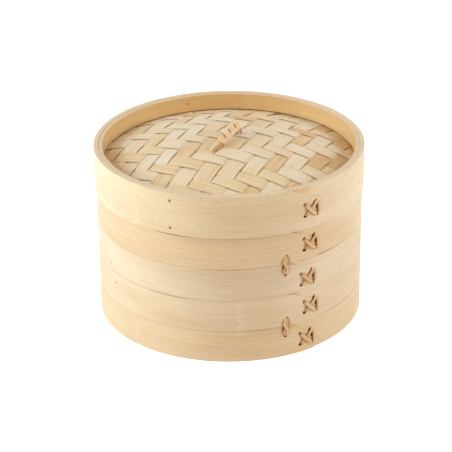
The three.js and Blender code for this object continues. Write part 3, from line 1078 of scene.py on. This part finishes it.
UPPER_TOP = dict(
    seed=5.6,
    shift=2.072,
    pale=tone(237, 207, 168),
    deep=tone(214, 173, 126),
    bottom_gaps=((31, 6, 0.45), (47, 14, 0.25)),
    top_gaps=((-24, 20, 1.1), (80, 24, 0.4), (160, 30, 0.4)),
    scars=(
        (-88, 0, 0, YELLOW_VEIL, 0.6),
        (150, 0, 0, PINK_VEIL, 0.7),
        (262, 0, 0, YELLOW_VEIL, 0.6),
    ),
    stains=((35, 121, 7, 3.5, HONEY_STAIN),),
    laces=(0.7, 0.5, 0.6, 0.6),
)
make_basket("lower", {"bottom": LOWER_BOTTOM, "top": LOWER_TOP}, 40)
make_basket("upper", {"bottom": UPPER_BOTTOM, "top": UPPER_TOP}, -75)

# ---- Lid ----

# Two families of strips: degrees from +X in plan, and edges in millimetres from the middle.
LONG_DIRECTION = -28
LONG_EDGES = (
    -107, -92.1, -79, -65.5, -49.6, -36, -18, -3.5, 9.5, 27, 43, 57, 70, 86.5, 102,
)
LONG_TONES = (0.4, 0.38, 0.48, 0.55, 0.38, 0.2, 0.3, 0.5, 0.25, 0.3, 0.25, 0.75, 0.45, 0.4)
CROSS_DIRECTION = 65
CROSS_EDGES = (
    -111, -95.9, -80.5, -64.5, -51.5, -35.5, -17.5, 0, 18, 34, 47.5, 61.5, 75.5, 93.5, 109,
)
CROSS_TONES = (0.9, 0.85, 0.25, 0.75, 0.28, 0.35, 0.52, 0.4, 0.62, 0.15, 0.22, 0.48, 0.28, 0.48)


def long_is_over(long_index, cross_index):
    """Two over and two under, one step further in each row."""
    return (-1 - cross_index - long_index) % 4 < 2


class Panel:
    """A woven panel: its domed middle surface, and how its strips lie."""

    def __init__(self, edge_height, crown_height, rim_radius, thickness, swing):
        self.edge_height = edge_height
        self.rise = crown_height - edge_height
        self.rim_radius = rim_radius
        self.reach = rim_radius + WEAVE_REACH
        self.thickness = thickness
        self.swing = swing

    def height(self, radius, level):
        share = min(radius / self.rim_radius, 1)
        tuck = TUCK_DEPTH * smooth((radius - (self.rim_radius - TUCK_START)) / TUCK_RUN)
        dome = self.edge_height + self.rise * (1 - share * share) - tuck
        settled = 1 - FLATTEN * smooth((radius - self.rim_radius) / FLATTEN_RUN + 1)
        return dome + level * self.swing * settled


def level_at(position, edges, is_over):
    """+1 where a strip lies over the strips that it crosses, -1 where it lies under them."""
    levels = [1 if is_over(index) else -1 for index in range(len(edges) - 1)]
    level = levels[0]
    for edge, before, after in zip(edges[1:-1], levels, levels[1:]):
        if before != after:
            dive = edge * MM - STRIP_SHIFT * before
            level += (after - before) * smooth((position - dive) / STRIP_TURN + 0.5)
    return level


class Family:
    """Side-by-side strips in one direction."""

    def __init__(self, direction, edges, tones):
        turn = radians(direction)
        self.along = Vector((cos(turn), sin(turn)))
        self.across = Vector((-sin(turn), cos(turn)))
        self.edges = edges
        self.tones = tones

    def woven(self, other, is_over, panel):
        indices = range(len(self.tones))
        return joined([self.woven_strip(index, other, is_over, panel) for index in indices])

    def woven_strip(self, index, other, is_over, panel):
        low = self.edges[index] * MM
        high = self.edges[index + 1] * MM
        width = high - low
        offset = (low + high) / 2
        half_length = sqrt(panel.reach * panel.reach - offset * offset)
        steps = int(half_length / STRIP_STEP)
        bm = strip(2 * half_length, panel.thickness, width, steps, 0.12 * MM, 5)
        set_grain(bm, index + 0.5, self.tones[index])
        round_ended(bm, panel.reach, offset, half_length)
        for vert in bm.verts:
            x, y, z = vert.co
            to_edge = 2 * z / width
            waver = STRIP_WAVER * (sin(x * 83 + index * 2.7) + sin(x * 211 + index * 1.3))
            narrower = STRIP_GAP * max(1 + waver, LEAST_GAP)
            plan = self.along * x + self.across * (z + offset - narrower / 2 * to_edge)
            over = partial(is_over, index)
            level = level_at(plan.dot(other.across), other.edges, over)
            height = panel.height(plan.length, level) + y
            vert.co = (plan.x, plan.y, height - STRIP_CROWN * to_edge * to_edge)
        outward(bm)
        return bm


def crosses_over(cross_index, long_index):
    return not long_is_over(long_index, cross_index)


def make_woven_panel(node, name, material, panel, upper_side=None):
    longs = Family(LONG_DIRECTION, LONG_EDGES, LONG_TONES)
    crosses = Family(CROSS_DIRECTION, CROSS_EDGES, CROSS_TONES)
    laid = {
        "long": longs.woven(crosses, long_is_over, panel),
        "cross": crosses.woven(longs, crosses_over, panel),
    }
    for way, bm in laid.items():
        # Upward faces take the second finish: painted shade seen through the gaps above.
        if upper_side:
            bm.normal_update()
            for face in bm.faces:
                face.material_index = int(face.normal.z > 0)
        strips = f"{name}_{way}_strips"
        piece(bm, strips, material, "lid", "weave", [node], sharp=50, second=upper_side)


LID_LOOK = dict(
    seed=7.7,
    shift=7.7,
    pale=tone(242, 217, 180),
    deep=tone(219, 183, 138),
    scars=(
        (-41.8, 0, 0, YELLOW_VEIL, 0.8),
        (82, 0, 0, PINK_VEIL, 0.7),
        (200, 0, 0, YELLOW_VEIL, 0.6),
    ),
    stains=((32, 164, 7, 3.5, ORANGE_STAIN),),
    laces=(0.6, 0.4, 0.6, 0.0),
)


def make_lid():
    outer = outer_radius("lid_rim_liner")
    inner = outer - LINER_T
    wall = outer_radius("lid_outer_hoop")
    pegs = [f"lid_peg_{index}" for index in range(1, 7)]
    drills = peg_drills(pegs, wall)
    make_band("lid_outer_hoop", "lid", "hoop", outer + FIT, wall, "lid", LID_LOOK, drills)
    for node in pegs:
        make_peg(node, wall, wall - inner + 0.1 * MM, "lid")
    make_liner("lid_rim_liner", "lid_upper_liner_hoop", inner, outer + SNUG, 145, "lid")
    make_liner("lid_lower_liner", "lid_lower_liner_hoop", inner, outer + SNUG, 60, "lid")

    low, high = box_of("lid_woven_top")
    half = STRIP_T / 2 + STRIP_SWING
    top = Panel(low.z + DRAWN_TOP_T - half, high.z - half, inner, STRIP_T, STRIP_SWING)
    make_woven_panel("lid_woven_top", "lid_weave", finishes["weave"], top)
    low, high = box_of("lid_woven_lining")
    half = DRAWN_LINING_T / 2
    under = Panel(low.z + half, high.z - half, inner, LINING_T, LINING_SWING)
    # The lining's upper side is painted dark, as shade under the woven top.
    make_woven_panel("lid_woven_lining", "lid_lining", finishes["lining"], under, "lining_shade_top")


make_lid()

# ---- Handle ----


class Arch:
    """The handle's line: steep at the near foot, long and straight, steep again at the far one."""

    def __init__(self):
        low, high = box_of("lid_handle_binding")
        middle = middle_of("lid_handle_binding")
        turn = radians(HANDLE_AZIMUTH)
        self.along = Vector((sin(turn), -cos(turn), 0))
        self.side = Vector((-cos(turn), -sin(turn), 0))
        base = Vector((middle.x, middle.y, low.z)) + self.side * HANDLE_ASIDE
        crest = high.z - low.z - WRAP_R
        corners = [
            base + self.along * (share - 0.5) * HANDLE_SPAN + Vector((0, 0, rise * crest))
            for share, rise in ARCH_CORNERS
        ]
        near = interpolate_bezier(*corners[:4], ARCH_STEPS)
        far = interpolate_bezier(*corners[3:], ARCH_STEPS)
        self.points = near + far[1:]
        # How far along the line each point is.
        self.runs = [0.0]
        for first, second in zip(self.points, self.points[1:]):
            self.runs.append(self.runs[-1] + (second - first).length)

    def point(self, share):
        """From 0 at the near foot to 1 at the far one, by length."""
        run = min(max(share, 0.0), 1.0) * self.runs[-1]
        index = min(max(bisect(self.runs, run), 1), len(self.points) - 1)
        before, after = self.runs[index - 1], self.runs[index]
        between = (run - before) / (after - before)
        return self.points[index - 1].lerp(self.points[index], between)

    def tangent(self, share):
        return (self.point(share + 0.01) - self.point(share - 0.01)).normalized()

    def around(self, share, turn, radius):
        """A point beside the line, turned from its top towards the right."""
        up = self.side.cross(self.tangent(share)).normalized()
        away = up * cos(radians(turn)) + self.side * sin(radians(turn))
        return self.point(share) + away * radius


# The splayed strands of each foot: start and end to the side, how far out, tone; in millimetres.
NEAR_STRANDS = (
    (-1.8, -1.0, 8.2, 0.1),
    (-1.2, 0.4, 6.4, 0.3),
    (-0.4, 1.2, 4.2, 0.05),
    (0.6, 2.2, 1.6, 0.35),
    (1.5, 3.0, -1.4, 0.2),
    (2.3, 3.4, -5.0, 0.5),
)
# The far foot's tones are kept pale: painted light on strands that lie in the handle's shade.
FAR_STRANDS = (
    (-2.2, -5.2, -3.5, 0.05),
    (-1.6, -4.6, -1.2, 0.25),
    (-0.8, -3.4, 1.2, 0.0),
    (0.2, -2.0, 3.4, 0.2),
    (1.2, -0.8, 5.0, 0.1),
    (1.8, 0.2, 0.6, 0.3),
)


# Strands laid along the right of the wraps: turn from their top, how far out, how wide.
LAID_STRANDS = (
    (98, -0.5, 1.1),
    (132, 0.0, 1.9),
)


def foot_strands(arch, share, out, strands, which):
    """Strands that leave the wrapping, splay and run down into the weave."""
    parts = []
    foot = arch.point(0.5 - copysign(0.5, out))
    outwards = arch.along * out
    for index, (start, end, reach, tone_value) in enumerate(strands):
        first = arch.point(share) + arch.side * start * MM
        last = foot + arch.side * end * MM - outwards * reach * MM - Vector((0, 0, 1.6 * MM))
        leave = first - arch.tangent(share) * out * 5 * MM
        enter = last + Vector((0, 0, 4.5 * MM)) + outwards * 1.5 * MM
        points = interpolate_bezier(first, leave, enter, last, 26)
        look = (which + index, tone_value, 0.75)
        parts.append(strand(points, arch.side, FOOT_W, FOOT_T, *look, side_shade_amount=0.92))
    return parts


def sleeve(share):
    """A wrap's size along it: a little slimmer at its two ends, and uneven."""
    return 1 - 0.13 * abs(2 * share - 1) ** 4 - 0.045 * sin(3 * pi * share) ** 2


def first_sleeve(share):
    return sleeve(share) * (0.7 + 0.3 * smooth(2 * share))


def spaced(first, last, steps):
    return [first + (last - first) * step / steps for step in range(steps + 1)]


def make_handle():
    arch = Arch()
    core = []
    for index, turn in enumerate((0, 120, 240)):
        points = [arch.around(share, turn, CANE_ASIDE) for share in spaced(*CANE_SHARES, 30)]
        core.append(strand(points, arch.side, CANE_W, CANE_T, index, 0.95))
    # The core canes are painted near black, as the shade in the slits between the wraps.
    look = (finishes["painted_shade"], "lid", "rattan", ["lid_handle_core"])
    piece(joined(core), "lid_handle_core_canes", *look)

    wraps = []
    half_gap = WRAP_GAP / 2 / arch.runs[-1]
    for index, (first, last) in enumerate(zip(WRAP_EDGES, WRAP_EDGES[1:])):
        points = [arch.point(share) for share in spaced(first + half_gap, last - half_gap, 24)]
        size = (2 * WRAP_R, 1.84 * WRAP_R)
        swell = sleeve if index else first_sleeve
        tone_value = WRAP_TONES[index]
        wraps.append(strand(points, arch.side, *size, index + 20, tone_value, 1, swell, WRAP_LEAN))
    feet = [wraps.pop(0)]
    feet += foot_strands(arch, FOOT_SHARES[0], 1, NEAR_STRANDS, 4)
    feet += foot_strands(arch, FOOT_SHARES[1], -1, FAR_STRANDS, 12)
    for turn, out, wide in LAID_STRANDS:
        radius = WRAP_R + out * MM
        points = [arch.around(share, turn, radius) for share in spaced(*LAID_SHARES, 40)]
        feet.append(strand(points, arch.side, wide * MM, LAID_T, turn, 0.1, side_shade_amount=0.65))
    look = (finishes["rattan"], "lid", "rattan", ["lid_handle_core"])
    piece(joined(feet), "lid_handle_feet", *look)
    look = (finishes["rattan"], "lid", "rattan", ["lid_handle_binding"])
    # The wraps' end caps take the near-black finish: painted shade in the slits.
    piece(joined(wraps), "lid_handle_wraps", *look, sharp=50, second="painted_shade")

    low, high = box_of("lid_handle_key")
    radius = (high.z - low.z) / 2
    length = hypot(high.x - low.x, high.y - low.y) - 2 * radius
    key = rod(radius, length, KEY_SIDES)
    set_grain(key, 3, 0.6, (2, 0))
    soften_rims(key, 0.4 * MM)
    turned(key, pi / 2, "X")
    turned(key, radians(HANDLE_AZIMUTH), "Z")
    bmesh.ops.translate(key, vec=middle_of("lid_handle_key"), verts=key.verts)
    piece(key, "lid_handle_key_stick", finishes["slat"], "lid", "pegs", ["lid_handle_key"])


make_handle()

# ---- Studio ----

VIEW_HEIGHT = 0.0832
VIEW_DISTANCE = 1.8095
VIEW_PITCH = 0.447
VIEW_ROLL = -0.008
VIEW_LENS = 150.54
VIEW_SHIFT = (-0.0080, -0.0116)


def make_camera():
    data = bpy.data.cameras.new("camera")
    data.sensor_width = 36
    data.lens = VIEW_LENS
    data.shift_x, data.shift_y = VIEW_SHIFT
    data.clip_end = 50
    camera = placed("camera", data)
    reach = VIEW_DISTANCE * cos(VIEW_PITCH)
    place = Vector((0, -reach, VIEW_HEIGHT + VIEW_DISTANCE * sin(VIEW_PITCH)))
    turn = Matrix.Rotation(pi / 2 - VIEW_PITCH, 4, "X") @ Matrix.Rotation(VIEW_ROLL, 4, "Z")
    camera.matrix_world = Matrix.Translation(place) @ turn
    bpy.context.scene.camera = camera


def make_lamp(name, place, size, power, colour):
    data = bpy.data.lights.new(name, "AREA")
    data.shape = "RECTANGLE"
    data.size, data.size_y = size
    data.energy = power
    data.color = colour
    lamp = placed(name, data)
    aim = Vector((0, 0, VIEW_HEIGHT)) - Vector(place)
    lamp.rotation_euler = aim.to_track_quat("-Z", "Y").to_euler()
    lamp.location = place


def make_floor():
    bm = bmesh.new()
    bmesh.ops.create_grid(bm, x_segments=1, y_segments=1, size=6.0)
    mesh = as_mesh(bm, "floor")
    floor = placed("floor", mesh)
    finish = Finish("floor_paper", roughness=1.0, specular=0.0)
    x, y, _ = finish.place()
    far = ((x * x + y * y) ** 0.5).between(0.4, 1.4)
    paper = finish.mixed(far, (0.5, 0.5, 0.5), (1.0, 1.0, 1.0))
    seen = finish.seen_by("Camera", "Glossy", "Transmission")
    glow = finish.mixed(seen, (0.0, 0.0, 0.0), paper)
    grey = (0.82, 0.82, 0.82)
    finish.surface(base_color=grey, emission_color=glow, emission_strength=1.0)
    mesh.materials.append(finish.material)


def make_world():
    """White to the camera and in shines, and dark as a lamp."""
    world = bpy.data.worlds.new("studio")
    world.use_nodes = True
    bpy.context.scene.world = world
    nodes = Nodes(world.node_tree)
    background = nodes.tree.nodes["Background"]
    nodes.feed(background.inputs["Color"], (1.0, 1.0, 1.0))
    nodes.feed(background.inputs["Strength"], nodes.seen_by("Camera", "Glossy"))


make_camera()
make_lamp("left_softbox", (-1.7, -0.2, 0.9), (1.2, 1.3), 38.5, (0.7, 0.86, 1.0))
make_lamp("front_left_softbox", (-1.2, -1.3, 1.2), (1.2, 1.2), 12, (0.97, 0.97, 0.86))
make_lamp("right_softbox", (1.7, -0.2, 0.9), (1.2, 1.3), 31, (0.83, 0.92, 1.0))
make_lamp("front_softbox", (0.0, -1.9, 0.9), (1.4, 0.8), 5, (1.0, 0.66, 0.36))
make_lamp("back_softbox", (0.3, 1.8, 0.9), (1.4, 0.8), 5, (1.0, 0.95, 0.9))
make_lamp("top_softbox", (0.0, 0.3, 2.0), (1.6, 1.4), 8, (1.0, 0.8, 0.55))
make_floor()
make_world()
bpy.context.scene.view_settings.view_transform = "Standard"
